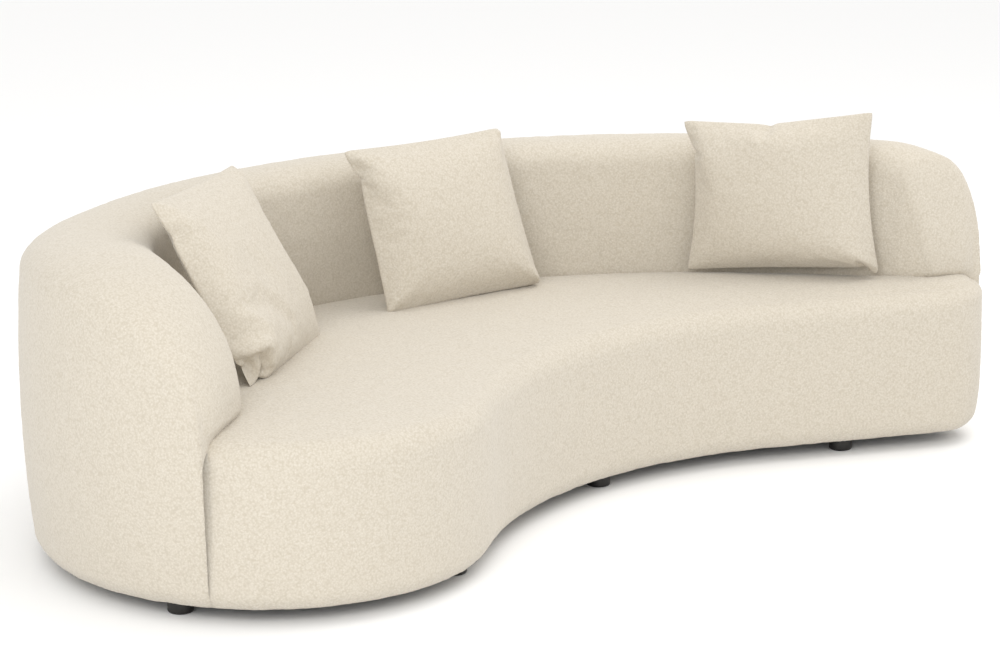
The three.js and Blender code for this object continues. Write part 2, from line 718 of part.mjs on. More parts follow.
function seatShell(inset, open) {
  const tuckAt = (z) => [z, TUCK.depth * (1 - (z - BASE_Z) / TUCK.height) ** 2];
  const tuckLevels = [BASE_Z, LOW_Z, BASE_Z + TUCK.height].map(tuckAt);
  const levels = tuckLevels.map(([z, d]) => [z, d + inset]);
  if (open) levels.unshift([BASE_Z - TUCK.height, TUCK.depth + inset]);
  return [...levels, ...roundedEdge(inset, SEAT_Z - inset)];
}
const SEAM_GAP = 0.6;
const lowerBack = seatLoft([[0, HEM], [FOAM_Z - 1, HEM]], -PAST, -PAST);
add('seat_cover', cut(seatLoft(seatShell(0, false), SEAM_GAP, SEAM_GAP),
  seatLoft(seatShell(COVER, true), SEAM_GAP + COVER, SEAM_GAP + COVER), lowerBack), BOUCLE);

// ---------------------------------------------------------------- loose cushions

// Plump square form: both faces swell from an edge of even thickness.
function cushionForm(width, height, frontSwell, backSwell, edge) {
  const cells = 6;
  const positions = [];
  const index = [];
  const plump = (u, v) => (1 - u ** 4) * (1 - v ** 4);
  for (const side of [-1, 1]) {
    const swell = side < 0 ? frontSwell : backSwell;
    for (let j = 0; j <= cells; j++) {
      for (let i = 0; i <= cells; i++) {
        const u = (2 * i) / cells - 1;
        const v = (2 * j) / cells - 1;
        const y = side * (edge + (swell - edge) * plump(u, v));
        positions.push((u * width) / 2, y, (v * height) / 2);
      }
    }
  }
  const row = cells + 1;
  const back = row * row;
  for (let j = 0; j < cells; j++) {
    for (let i = 0; i < cells; i++) {
      const a = j * row + i;
      index.push(a, a + 1, a + row + 1, a, a + row + 1, a + row);
      index.push(back + a, back + a + row + 1, back + a + 1, back + a, back + a + row, back + a + row + 1);
    }
  }
  for (let k = 0; k < cells; k++) {
    const edges = [[k + 1, k], [cells * row + k, cells * row + k + 1],
      [k * row, (k + 1) * row], [(k + 1) * row + cells, k * row + cells]];
    for (const [a, b] of edges) index.push(a, b, back + b, a, back + b, back + a);
  }
  const geometry = new THREE.BufferGeometry();
  geometry.setAttribute('position', new THREE.Float32BufferAttribute(positions, 3));
  geometry.setIndex(index);
  return facingOut(geometry);
}

function cushionCover(height) {
  const { width, front: swell, back, edge } = CUSHION;
  const outer = cushionForm(width, height, swell, back, edge);
  const { thick, hem, edge: innerEdge } = CUSHION_SHEET;
  const inner = cushionForm(width - 2 * hem, height - 2 * hem, swell - thick, back - thick, innerEdge);
  const zipOpening = new THREE.BoxGeometry(ZIP.length, ZIP.width, ZIP.depth).translate(0, 0, -height / 2);
  return cut(outer, inner, zipOpening);
}

function cushionFilling(height) {
  const { width, front: swell, back } = CUSHION;
  const { inset, swell: less, edge } = CUSHION_FILLING;
  return cushionForm(width - 2 * inset, height - 2 * inset, swell - less, back - less, edge);
}

// Each cushion stands on its lower edge at x, y, turned and leaning back by the given degrees.
const CUSHIONS = {
  left: { x: -629, y: 2, height: 490, turn: 31, lean: 28 },
  middle: { x: 64, y: 136, height: 455, turn: -6, lean: 20 },
  right: { x: 875, y: -241, height: 450, turn: -54, lean: 5 },
};
for (const [name, { x, y, height, turn, lean }] of Object.entries(CUSHIONS)) {
  const stand = new THREE.Group();
  stand.position.set(x, y, SEAT_Z + CUSHION.gap);
  stand.rotation.z = rad(turn);
  const leaning = new THREE.Group();
  leaning.rotation.x = -rad(lean);
  stand.add(leaning);
  add(`pillow_cover_${name}`, cushionCover(height), BOUCLE, leaning).position.z = height / 2;
  add(`pillow_filling_${name}`, cushionFilling(height), WADDING, leaning).position.z = height / 2;
  sofa.add(stand);
}

export default sofa;
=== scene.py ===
"""Curved boucle sofa with three loose pillows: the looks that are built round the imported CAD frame.
Metres, +Z up, the sitter faces -Y. The upholstery repeats the CAD's plan curves and sections."""

import json
import math

import bpy
import numpy as np
from mathutils import Matrix, Vector


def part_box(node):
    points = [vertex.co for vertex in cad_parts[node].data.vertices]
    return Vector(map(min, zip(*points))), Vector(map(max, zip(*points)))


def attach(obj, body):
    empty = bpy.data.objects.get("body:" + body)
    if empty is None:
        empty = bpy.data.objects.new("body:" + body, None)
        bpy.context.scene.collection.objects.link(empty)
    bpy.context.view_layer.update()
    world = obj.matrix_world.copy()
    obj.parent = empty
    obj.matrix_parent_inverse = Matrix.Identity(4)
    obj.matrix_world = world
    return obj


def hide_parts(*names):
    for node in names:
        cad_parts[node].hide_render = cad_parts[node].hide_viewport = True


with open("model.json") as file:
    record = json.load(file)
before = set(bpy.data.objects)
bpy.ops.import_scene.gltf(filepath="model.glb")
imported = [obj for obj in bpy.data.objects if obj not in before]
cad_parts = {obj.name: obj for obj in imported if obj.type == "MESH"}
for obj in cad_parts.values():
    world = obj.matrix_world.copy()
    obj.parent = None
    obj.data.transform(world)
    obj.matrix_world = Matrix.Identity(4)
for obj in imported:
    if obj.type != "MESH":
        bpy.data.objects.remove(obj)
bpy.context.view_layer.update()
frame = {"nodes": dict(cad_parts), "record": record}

# ------------------------------------------------------------------ driving dimensions, as in the CAD

BASE_Z = 0.040
SEAT_Z = 0.430
BACK_Z = 0.797
SEAM = (-1.2118, -0.4316)
SEAM_HEADING = math.radians(124)

BACK_SHOULDER = (0.620, 98)  # radius, turn in degrees
BACK_SWEEP = (1.650, 96.5)
BACK_TIP = (0.155, 38.5)
FRONT_LOBE = (0.525, 94)
FRONT_WAIST = (1.070, 63.6)
FRONT_CORNER_RADIUS = 0.135

WALL_LEFT, WALL_RIGHT, WALL_LEAN = 0.225, 0.190, 0.014
LEFT_ARCH = (0.628, 2.7)  # length, power
RIGHT_ARCH = (0.090, 2.3)
RIGHT_SLOPE, RIGHT_DROP = 0.260, 0.17  # the crest slopes before the right end
TIP_BLEND = 0.400
ARM_FULLER, FULLER_AT_SEAM = 0.100, 0.45  # the padding is thicker inside the left shoulder
FULLER_WHOLE, FULLER_FROM, FULLER_GONE = 0.600, 0.750, 1.500
BULGE, BULGE_LEAN, BULGE_CENTRE = 0.017, 0.016, 0.377
TUCK_DEPTH, TUCK_HEIGHT = 0.020, 0.040
TOP_ROUND = 0.080
SEAT_ROUND = 0.058

CUSHION_WIDTH = 0.500
CUSHIONS = {  # where the lower edge stands, height, turn and backward lean in degrees
    "left": dict(x=-0.629, y=0.002, height=0.490, turn=31, lean=28),
    "middle": dict(x=0.064, y=0.136, height=0.455, turn=-6, lean=20),
    "right": dict(x=0.875, y=-0.241, height=0.450, turn=-54, lean=5),
}
CUSHION_GAP = 0.003

RIGHT, LEFT = -1, 1
CELL = 0.0062  # size of the upholstery's mesh cells

# ------------------------------------------------------------------ plan curves


def arc(shape, side):
    radius, turn = shape
    return radius * math.radians(turn), side / radius


def step(x, y, heading, bend, distance):
    """Where a curve of constant bend arrives after a distance. Arrays work too."""
    turned = heading + bend * distance
    if bend == 0:
        return x + distance * np.cos(turned), y + distance * np.sin(turned), turned
    return (
        x + (np.sin(turned) - np.sin(heading)) / bend,
        y - (np.cos(turned) - np.cos(heading)) / bend,
        turned,
    )


class Chain:
    """Tangent arcs and lines one after another. Past its ends it runs on straight."""

    def __init__(self, start, parts):
        self.parts, self.length, place = [], 0.0, start
        for length, bend in parts:
            self.parts.append((self.length, place, bend))
            place = step(*place, bend, length)
            self.length += length
        self.start, self.end = start, place

    def at(self, s):
        s = np.atleast_1d(np.asarray(s, float))
        x, y, heading = step(*self.start, 0, np.minimum(s, 0))
        for begin, place, bend in self.parts:
            inside = s >= begin
            px, py, ph = step(*place, bend, s[inside] - begin)
            x[inside], y[inside], heading[inside] = px, py, ph
        past = s > self.length
        x[past], y[past], _ = step(*self.end, 0, s[past] - self.length)
        heading = np.where(past, self.end[2], heading * np.ones_like(s))
        return x, y, heading


outline = Chain(
    (*SEAM, SEAM_HEADING),
    [arc(BACK_SHOULDER, RIGHT), arc(BACK_SWEEP, RIGHT), arc(BACK_TIP, RIGHT)],
)


def close_front():
    """The front leaves the seam the other way. Its two straight lengths close the outline."""
    start = (*SEAM, SEAM_HEADING - math.pi)
    bends = [arc(FRONT_LOBE, LEFT), arc(FRONT_WAIST, RIGHT)]
    waist = Chain(start, bends).end
    end = outline.end
    arrival = end[2] + math.pi
    turn = (arrival - waist[2]) % (2 * math.pi)
    corner = (FRONT_CORNER_RADIUS * turn, LEFT / FRONT_CORNER_RADIUS)
    across = Chain((0.0, 0.0, waist[2]), [corner]).end
    gap = (end[0] - waist[0] - across[0], end[1] - waist[1] - across[1])
    a = (math.cos(waist[2]), math.sin(waist[2]))
    b = (math.cos(arrival), math.sin(arrival))
    det = a[0] * b[1] - a[1] * b[0]
    first = (gap[0] * b[1] - gap[1] * b[0]) / det
    last = (a[0] * gap[1] - a[1] * gap[0]) / det
    return Chain(start, [*bends, (first, 0), corner, (last, 0)])


front = close_front()


def beside(place, distance):
    """Plan points to the left of a curve's heading when the distance is positive."""
    x, y, heading = place
    return x - distance * np.sin(heading), y + distance * np.cos(heading)


def wall_at(s):
    """The wall's own direction: square to the outline, but turning steadily near the right end."""
    x, y, heading = outline.at(s)
    begin = outline.length - TIP_BLEND
    before = outline.at(begin)[2][0]
    t = np.clip((s - begin) / TIP_BLEND, 0, 1)
    return x, y, np.where(s > begin, before + (outline.end[2] - before) * t, heading)


def thickness(s):
    s = np.asarray(s, float)
    grown = FULLER_AT_SEAM + (1 - FULLER_AT_SEAM) * np.sin(math.pi / 2 * np.clip(s / FULLER_WHOLE, 0, 1))
    kept = (1 + np.cos(math.pi * np.clip((s - FULLER_FROM) / (FULLER_GONE - FULLER_FROM), 0, 1))) / 2
    plain = WALL_LEFT + (WALL_RIGHT - WALL_LEFT) * np.clip(s / outline.length, 0, 1)
    return plain + ARM_FULLER * grown * kept


def arch(x, power):
    return (1 - np.clip(x, 0, 1) ** power) ** (1 / power)


def crest(s):
    left = arch((LEFT_ARCH[0] - s) / LEFT_ARCH[0], LEFT_ARCH[1])
    right = arch((RIGHT_ARCH[0] - outline.length + s) / RIGHT_ARCH[0], RIGHT_ARCH[1])
    slope = 1 - RIGHT_DROP * np.clip(1 - (outline.length - s) / RIGHT_SLOPE, 0, 1) ** 2
    return SEAT_Z + (BACK_Z - SEAT_Z) * np.minimum(left, right) * slope


def face(z):
    """Outside face at height z, measured outwards from the outline."""
    swell = 1 - ((z - BULGE_CENTRE) / (BULGE_CENTRE - BASE_Z)) ** 2
    rise = np.clip((z - BASE_Z) / (BACK_Z - BASE_Z), 0, 1)
    tuck = TUCK_DEPTH * np.clip(1 - (z - BASE_Z) / TUCK_HEIGHT, 0, 1) ** 2
    return BULGE * np.maximum(swell, 0) + BULGE_LEAN * rise - tuck


def inner_face(s, z):
    return -thickness(s) + WALL_LEAN * np.clip((z - SEAT_Z) / (BACK_Z - SEAT_Z), 0, 1)


def roundness(top):
    return SEAT_ROUND + (TOP_ROUND - SEAT_ROUND) * np.clip((top - SEAT_Z) / (BACK_Z - SEAT_Z), 0, 1)


# ------------------------------------------------------------------ smooth noise in three dimensions


def lattice(seed, size=64):
    return np.random.default_rng(seed).uniform(-1, 1, (size, size, size))


def noise(points, wavelength, seed):
    """Smooth value noise from -1 to 1 at points (n, 3)."""
    grid = lattice(seed)
    size = grid.shape[0]
    q = points / wavelength + 1000.0
    base = np.floor(q).astype(int)
    t = q - base
    t = t * t * (3 - 2 * t)
    total = 0.0
    for corner in np.ndindex(2, 2, 2):
        weight = np.prod(np.where(corner, t, 1 - t), axis=1)
        index = (base + corner) % size
        total = total + weight * grid[index[:, 0], index[:, 1], index[:, 2]]
    return total


# ------------------------------------------------------------------ mesh helpers


def grid_faces(rows, columns, flip=False):
    i, j = np.meshgrid(np.arange(rows - 1), np.arange(columns - 1), indexing="ij")
    a = (i * columns + j).ravel()
    faces = np.stack([a, a + 1, a + columns + 1, a + columns], axis=1)
    return faces[:, ::-1] if flip else faces


def make_object(name, vertices, faces, material=None, smooth=True):
    mesh = bpy.data.meshes.new(name)
    mesh.from_pydata(vertices.tolist(), [], faces.tolist() if hasattr(faces, "tolist") else faces)
    mesh.update()
    if smooth:
        mesh.polygons.foreach_set("use_smooth", [True] * len(mesh.polygons))
    obj = bpy.data.objects.new(name, mesh)
    bpy.context.scene.collection.objects.link(obj)
    if material:
        mesh.materials.append(material)
    return obj


def grid_normals(points):
    """Unit normals of a (rows, columns, 3) grid."""
    du = np.gradient(points, axis=0)
    dv = np.gradient(points, axis=1)
    n = np.cross(du, dv)
    return n / np.maximum(np.linalg.norm(n, axis=2, keepdims=True), 1e-12)


def even_steps(values, curve, cell):
    """Resamples a parameter so that the points of curve(values) lie about a cell apart."""
    points = curve(values)
    length = np.concatenate([[0], np.cumsum(np.linalg.norm(np.diff(points, axis=0), axis=1))])
    count = max(2, int(round(length[-1] / cell)) + 1)
    return np.interp(np.linspace(0, length[-1], count), length, values)


def nubs(points, seed, amount):
    """Loose curls of the yarn: a small random lift of each point, with a softer roll beneath."""
    rng = np.random.default_rng(seed)
    flat = points.reshape(-1, 3)
    curl = rng.uniform(-1, 1, len(flat)) * amount
    roll = noise(flat, 0.055, seed + 1) * 0.0008 + noise(flat, 0.021, seed + 2) * 0.0006
    return (curl + roll).reshape(points.shape[:2])


# ------------------------------------------------------------------ materials


def nodes_of(material):
    material.use_nodes = True
    tree = material.node_tree
    tree.nodes.clear()
    out = tree.nodes.new("ShaderNodeOutputMaterial")
    shader = tree.nodes.new("ShaderNodeBsdfPrincipled")
    tree.links.new(shader.outputs["BSDF"], out.inputs["Surface"])
    return tree, shader


def node(tree, kind, inputs=(), **settings):
    made = tree.nodes.new(kind)
    for key, value in settings.items():
        setattr(made, key, value)
    for key, value in dict(inputs).items():
        if isinstance(value, bpy.types.NodeSocket):
            tree.links.new(value, made.inputs[key])
        else:
            made.inputs[key].default_value = value
    return made


def srgb(r, g, b):
    """Linear colour, with alpha, of a display colour given from 0 to 255."""
    channel = lambda c: c / 12.92 if c <= 0.04045 else ((c + 0.055) / 1.055) ** 2.4
    return (*[channel(c / 255) for c in (r, g, b)], 1)


def ramp(tree, factor, stops):
    made = tree.nodes.new("ShaderNodeValToRGB")
    elements = made.color_ramp.elements
    while len(elements) < len(stops):
        elements.new(0.5)
    for element, (position, color) in zip(elements, stops):
        element.position, element.color = position, color
    tree.links.new(factor, made.inputs["Fac"])
    return made.outputs["Color"]


def math_node(tree, operation, a, b):
    return node(tree, "ShaderNodeMath", {0: a, 1: b}, operation=operation).outputs[0]


def weighted(tree, a, share_a, b, share_b):
    """Sum of two values, each times its share."""
    first = math_node(tree, "MULTIPLY", a, share_a)
    return math_node(tree, "ADD", first, math_node(tree, "MULTIPLY", b, share_b))


def noise_node(tree, where, scale, detail, **more):
    """Fac of a noise texture. The other inputs are given by name, with _ for a space."""
    inputs = {"Vector": where, "Scale": scale, "Detail": detail}
    inputs.update((key.replace("_", " "), value) for key, value in more.items())
    return node(tree, "ShaderNodeTexNoise", inputs).outputs["Fac"]


def ranged(tree, value, low, high):
    inputs = {"Value": value, "To Min": low, "To Max": high}
    return node(tree, "ShaderNodeMapRange", inputs).outputs[0]


def relief(tree, shader, height, strength, distance):
    bump = node(tree, "ShaderNodeBump", {"Height": height, "Strength": strength, "Distance": distance})
    tree.links.new(bump.outputs["Normal"], shader.inputs["Normal"])


def boucle(name, gap_shade, light, tip_highlight):
    """Looped cream yarn: curls about 5 mm across, with darker gaps and pale tips. The colour follows the
    relief, so the darker gaps are painted shade and the pale tips a painted highlight; the noise adds some
    random tone.
    """
    material = bpy.data.materials.new(name)
    tree, shader = nodes_of(material)
    where = node(tree, "ShaderNodeTexCoord").outputs["Object"]
    wander = node(tree, "ShaderNodeTexNoise", {"Vector": where, "Scale": 55, "Detail": 2}).outputs["Color"]
    amount = (0.004, 0.004, 0.004)
    bent = node(tree, "ShaderNodeVectorMath", {0: wander, 1: amount}, operation="MULTIPLY").outputs[0]
    place = node(tree, "ShaderNodeVectorMath", {0: where, 1: bent}, operation="ADD").outputs[0]
    cells = node(tree, "ShaderNodeTexVoronoi", {"Vector": place, "Scale": 210}, feature="SMOOTH_F1")
    loops = noise_node(tree, place, 330, 4, Roughness=0.65)
    tufts = noise_node(tree, where, 60, 3)
    domes = math_node(tree, "SUBTRACT", 1.0, cells.outputs["Distance"])
    height = weighted(tree, domes, 0.62, loops, 0.5)
    height = math_node(tree, "ADD", height, math_node(tree, "MULTIPLY", tufts, 0.12))
    # the tone follows the relief: painted shade in the low gaps, painted highlight on the high tips
    tone = ramp(tree, height, [(0.50, gap_shade), (0.80, light), (1.0, tip_highlight)])
    tree.links.new(tone, shader.inputs["Base Color"])
    shader.inputs["Roughness"].default_value = 0.96
    shader.inputs["Specular IOR Level"].default_value = 0.15
    shader.inputs["Sheen Weight"].default_value = 0.25
    shader.inputs["Sheen Roughness"].default_value = 0.6
    relief(tree, shader, height, 0.30, 0.003)
    return material


def grained(name, dark, light, roughness, grain=(3, 60, 60), gloss=0.4):
    """Wood or board: long grain with a fine pore."""
    material = bpy.data.materials.new(name)
    tree, shader = nodes_of(material)
    where = node(tree, "ShaderNodeTexCoord").outputs["Object"]
    long = node(tree, "ShaderNodeMapping", {"Vector": where, "Scale": grain}).outputs["Vector"]
    lines = noise_node(tree, long, 4, 8, Roughness=0.6, Distortion=0.6)
    pores = noise_node(tree, long, 40, 3)
    mixed = weighted(tree, lines, 0.75, pores, 0.25)
    tree.links.new(ramp(tree, mixed, [(0.3, dark), (0.7, light)]), shader.inputs["Base Color"])
    rough = ranged(tree, pores, roughness - 0.08, roughness + 0.08)
    tree.links.new(rough, shader.inputs["Roughness"])
    shader.inputs["Specular IOR Level"].default_value = gloss
    relief(tree, shader, mixed, 0.5, 0.0004)
    return material


def woven(name, dark, light, pitch):
    """Plain weave of a webbing or dust cloth."""
    material = bpy.data.materials.new(name)
    tree, shader = nodes_of(material)
    where = node(tree, "ShaderNodeTexCoord").outputs["Object"]
    threads = {"Vector": where, "Scale": 1 / pitch / 6.28, "Distortion": 0.4}
    warp, weft = (
        node(tree, "ShaderNodeTexWave", threads, bands_direction=axis).outputs["Fac"] for axis in "XY"
    )
    over = math_node(tree, "MAXIMUM", warp, weft)
    tree.links.new(ramp(tree, over, [(0.2, dark), (0.9, light)]), shader.inputs["Base Color"])
    shader.inputs["Roughness"].default_value = 0.9
    relief(tree, shader, over, 0.6, 0.0006)
    return material


def foamy(name, dark, light, cell):
    """Open-celled foam or loose wadding."""
    material = bpy.data.materials.new(name)
    tree, shader = nodes_of(material)
    where = node(tree, "ShaderNodeTexCoord").outputs["Object"]
    cells = node(tree, "ShaderNodeTexVoronoi", {"Vector": where, "Scale": 1 / cell}).outputs["Distance"]
    patch = noise_node(tree, where, 9, 4)
    mixed = weighted(tree, cells, 0.6, patch, 0.5)
    tree.links.new(ramp(tree, mixed, [(0.2, dark), (0.7, light)]), shader.inputs["Base Color"])
    shader.inputs["Roughness"].default_value = 0.95
    relief(tree, shader, cells, 0.7, 0.001)
    return material


def brushed_steel(name):
    material = bpy.data.materials.new(name)
    tree, shader = nodes_of(material)
    where = node(tree, "ShaderNodeTexCoord").outputs["Object"]
    long = node(tree, "ShaderNodeMapping", {"Vector": where, "Scale": (900, 900, 40)}).outputs["Vector"]
    lines = noise_node(tree, long, 1, 3)
    tone = ramp(tree, lines, [(0.3, srgb(150, 152, 155)), (0.7, srgb(205, 206, 208))])
    tree.links.new(tone, shader.inputs["Base Color"])
    tree.links.new(ranged(tree, lines, 0.28, 0.45), shader.inputs["Roughness"])
    shader.inputs["Metallic"].default_value = 1.0
    relief(tree, shader, lines, 0.3, 0.0002)
    return material


# gap, middle and tip tones of the cream yarn: the gap tone is painted shade and the tip tone a painted
# highlight
CREAM = srgb(188, 179, 163), srgb(201, 193, 179), srgb(209, 202, 191)
SHELL_CLOTH = boucle("boucle_cream", *CREAM)
PILLOW_CLOTH = boucle("boucle_pillow", *CREAM)
BLACK_WOOD = grained(
    "black_stained_wood", srgb(16, 15, 13), srgb(34, 31, 28), 0.38, grain=(40, 40, 6), gloss=0.5
)

CAD_FINISHES = {
    "plywood": grained("plywood", srgb(176, 140, 96), srgb(214, 184, 138), 0.7),
    "softwood": grained("softwood", srgb(190, 150, 104), srgb(226, 198, 150), 0.72),
    "hardboard": grained("hardboard", srgb(92, 64, 42), srgb(128, 94, 64), 0.8, grain=(40, 40, 40)),
    "black_wood": BLACK_WOOD,
    "steel": brushed_steel("brushed_steel"),
    "webbing": woven("webbing", srgb(38, 40, 42), srgb(78, 82, 86), 0.0022),
    "dust_cloth": woven("dust_cloth", srgb(12, 12, 12), srgb(40, 40, 40), 0.0012),
    "foam": foamy("foam", srgb(206, 192, 140), srgb(238, 228, 184), 0.0016),
    "wadding": foamy("wadding", srgb(214, 212, 206), srgb(248, 247, 243), 0.004),
    "boucle": SHELL_CLOTH,
}

slot_of = {part["node"]: part["material_slot"] for part in frame["record"]["subparts"]}
for name, obj in frame["nodes"].items():
    obj.data.materials.clear()
    obj.data.materials.append(CAD_FINISHES[slot_of[name]])

# ------------------------------------------------------------------ back and arm shell

SEAM_GROOVE, SEAM_WIDTH = 0.0042, 0.0080  # depth, and reach to each side
NOSE_SWELL, NOSE_REACH = 0.018, 0.050  # how far the padded ends bulge over the seat, and from where
INNER_BOTTOM = SEAT_Z - 0.045
TIP_CALM = 0.060  # length over which the inner face's bend is evened out
END_TUCK, END_TUCK_HEIGHT, END_TUCK_REACH = 0.018, 0.150, 0.300
INNER_FULLNESS = 0.80  # below 1 the inner top corner is fuller than an ellipse
HEM = np.linspace(0.045, 0.004, 6)  # the cover's lower edge runs in under the base
HEM_Z = BASE_Z - 0.001
FACE_TOP = BACK_Z - TOP_ROUND
ROLL_ARC = 0.142  # about the length of a quarter of the rolled top
CORNER_LEFT, CORNER_RIGHT, CORNER_PULL = 0.060, 0.100, 0.060  # rounding of the inner corners in plan


def wall_stations():
    """Places along the outline, closer together where the crest drops steeply."""
    left, right = (np.linspace(0, math.pi / 2, count) for count in (4000, 2000))
    s = np.concatenate([
        LEFT_ARCH[0] * (1 - np.cos(left) ** (2 / LEFT_ARCH[1])),
        np.linspace(LEFT_ARCH[0], outline.length - RIGHT_ARCH[0], 4000)[1:],
        outline.length - RIGHT_ARCH[0] * (1 - np.sin(right) ** (2 / RIGHT_ARCH[1]))[1:],
    ])
    return even_steps(s, lambda v: np.stack([v, crest(v)], axis=1), CELL)


def wall_grid():
    """Stations, and the outward place and height of each point of the wall's sections."""
    s = wall_stations()
    top = crest(s)
    shoulder = top - roundness(top)
    inner_top = np.maximum(SEAT_Z, top - TOP_ROUND)
    outer = face(shoulder)
    inner = inner_face(s, inner_top)
    middle = (outer + inner) / 2
    upright = FACE_TOP - BASE_Z - TUCK_HEIGHT
    rise = np.concatenate([
        np.linspace(0, 1, 13)[:-1] ** 1.4 * TUCK_HEIGHT,
        np.linspace(TUCK_HEIGHT, FACE_TOP - BASE_Z, int(upright / CELL)),
    ])
    quarter = np.linspace(0, math.pi / 2, int(ROLL_ARC / CELL) + 1)[1:]
    down = np.linspace(0, 1, int((FACE_TOP - INNER_BOTTOM) / CELL))[1:]
    out, z = [], []
    for inset in HEM:
        out.append(face(BASE_Z) - inset + 0 * s)
        z.append(HEM_Z + 0 * s)
    for lift in rise:
        if lift < TUCK_HEIGHT:
            level = np.minimum(BASE_Z + lift, BASE_Z + lift / rise[-1] * (shoulder - BASE_Z))
        else:
            share = (lift - TUCK_HEIGHT) / (rise[-1] - TUCK_HEIGHT)
            level = BASE_Z + TUCK_HEIGHT + share * (shoulder - BASE_Z - TUCK_HEIGHT)
        out.append(face(level))
        z.append(level)
    for a in quarter:
        out.append(middle + (outer - middle) * math.cos(a))
        z.append(shoulder + (top - shoulder) * math.sin(a))
    for a in quarter:
        out.append(middle - (middle - inner) * math.sin(a) ** INNER_FULLNESS)
        z.append(inner_top + (top - inner_top) * math.cos(a) ** INNER_FULLNESS)
    for t in down:
        level = inner_top + (INNER_BOTTOM - inner_top) * t
        out.append(inner_face(s, level))
        z.append(level)
    return s, np.stack(out, axis=1), np.stack(z, axis=1)


def calm_tip(values, s, weight):
    """Evens out the bend of the inner face beside the right end; the end itself stays."""
    reach, spacing, half = 0.8, 0.005, 40  # half of the window, in steps of the spacing
    even = np.linspace(outline.length - reach, outline.length, int(round(reach / spacing)) + 1)
    window = np.exp(-((np.arange(-half, half + 1) * spacing / TIP_CALM) ** 2) / 2)
    window /= window.sum()
    calm = values.copy()
    near = s > even[0]
    fade = np.clip((s[near] - even[half]) / (half * spacing), 0, 1)
    for column in range(values.shape[1]):
        line = np.interp(even, s, values[:, column])
        ahead = 2 * line[-1] - line[-2 : -half - 2 : -1]
        behind = 2 * line[0] - line[half:0:-1]
        smooth = np.convolve(np.concatenate([behind, line, ahead]), window, mode="valid")
        share = fade * weight[near, column]
        calm[near, column] += (np.interp(s[near], even, smooth) - values[near, column]) * share
    return calm


def end_tuck(distance, z):
    """The lower corner under the right end draws in further than the rest."""
    low = np.clip(1 - (z - BASE_Z) / END_TUCK_HEIGHT, 0, 1) ** 2
    return END_TUCK * low * np.clip(1 - distance / END_TUCK_REACH, 0, 1)


def build_back():
    s, out, z = wall_grid()
    S = np.repeat(s[:, None], out.shape[1], axis=1)
    inner_side = np.clip((-out / thickness(S) - 0.5) / 0.3, 0, 1)
    # the front seam's groove, which the seat's edge shares
    outer_side = (out > -0.04) & (z < SEAT_Z + 0.01)
    for distance in (S, outline.length - S):
        out = out - SEAM_GROOVE * np.exp(-(distance / SEAM_WIDTH) ** 2) * outer_side
    out = out - end_tuck(outline.length - S, z) * (out > -0.08)
    x, y, heading = wall_at(s)
    X = x[:, None] - out * np.sin(heading)[:, None]
    Y = y[:, None] + out * np.cos(heading)[:, None]
    X, Y = (calm_tip(values, s, inner_side) for values in (X, Y))
    # the inner corners of both ends are rounded in plan
    depth = np.clip((-out / thickness(S) - 0.55) / 0.45, 0, 1) ** 2 * (z > SEAT_Z - 0.02)
    for distance, reach in ((S, CORNER_LEFT), (outline.length - S, CORNER_RIGHT)):
        near = np.clip(1 - distance / reach, 0, 1)
        pull = CORNER_PULL * (1 - np.sqrt(1 - near**2)) * depth
        X = X - pull * np.sin(heading)[:, None]
        Y = Y + pull * np.cos(heading)[:, None]
        out = out + pull
    # the padded ends swell a little over the seat
    across = np.clip(-out / thickness(S), 0, 1)
    swell = NOSE_SWELL * np.clip(1 - np.abs(2 * across - 1) ** 3.2, 0, 1)
    above = np.clip((z - SEAT_Z + 0.004) / 0.030, 0, 1) * np.clip((BACK_Z - 0.05 - z) / 0.25, 0, 1)
    for distance, direction in ((S, -1), (outline.length - S, 1)):
        shift = direction * swell * above * np.exp(-(distance / NOSE_REACH) ** 2)
        X = X + shift * np.cos(heading)[:, None]
        Y = Y + shift * np.sin(heading)[:, None]
    points = np.stack([X, Y, z], axis=2)
    normals = grid_normals(points)
    if normals[len(s) // 2, 40, 1] < 0:
        normals = -normals
    points = points + normals * nubs(points, 11, 0.0004)[:, :, None]
    faces = grid_faces(*points.shape[:2])
    return make_object("back_upholstery", points.reshape(-1, 3), faces, SHELL_CLOTH)


# ------------------------------------------------------------------ seat

CREASE, CREASE_WIDTH = 0.005, 0.03  # how the seat rolls down behind, into the joint with the back
CROWN_LEFT, CROWN_RIGHT = 0.010, 0.017
END_ROUND, END_REACH = 0.016, 0.260  # the seat's edge is tighter at the right end
FRONT_SWELL = 0.0035
SWELL_CENTRE, SWELL_HALF = 0.25, 0.21  # heights over which the front swells
UNDER_BACK = 0.030
SEAT_ENDS = 0.030  # how far the seat runs in under the arms


def seat_profile(radius):
    """Inset from the front, and height, from the hem up to the start of the flat top."""
    hem = [(TUCK_DEPTH + d, HEM_Z) for d in HEM]
    low = [(TUCK_DEPTH * (1 - t) ** 2, BASE_Z + t * TUCK_HEIGHT) for t in np.linspace(0, 1, 9)[:-1]]
    high = SEAT_Z - radius
    levels = np.linspace(BASE_Z + TUCK_HEIGHT, high, int((high - BASE_Z - TUCK_HEIGHT) / CELL))
    rise = [(0.0, z) for z in levels[:-1]]
    turn = np.linspace(0, math.pi / 2, 16)
    edge = [(radius * (1 - math.cos(a)), high + radius * math.sin(a)) for a in turn]
    return np.array(hem + low + rise + edge)


def resampled(points, count):
    old, new = np.linspace(0, 1, len(points)), np.linspace(0, 1, count)
    return np.stack([np.interp(new, old, points[:, k]) for k in (0, 1)], axis=1)


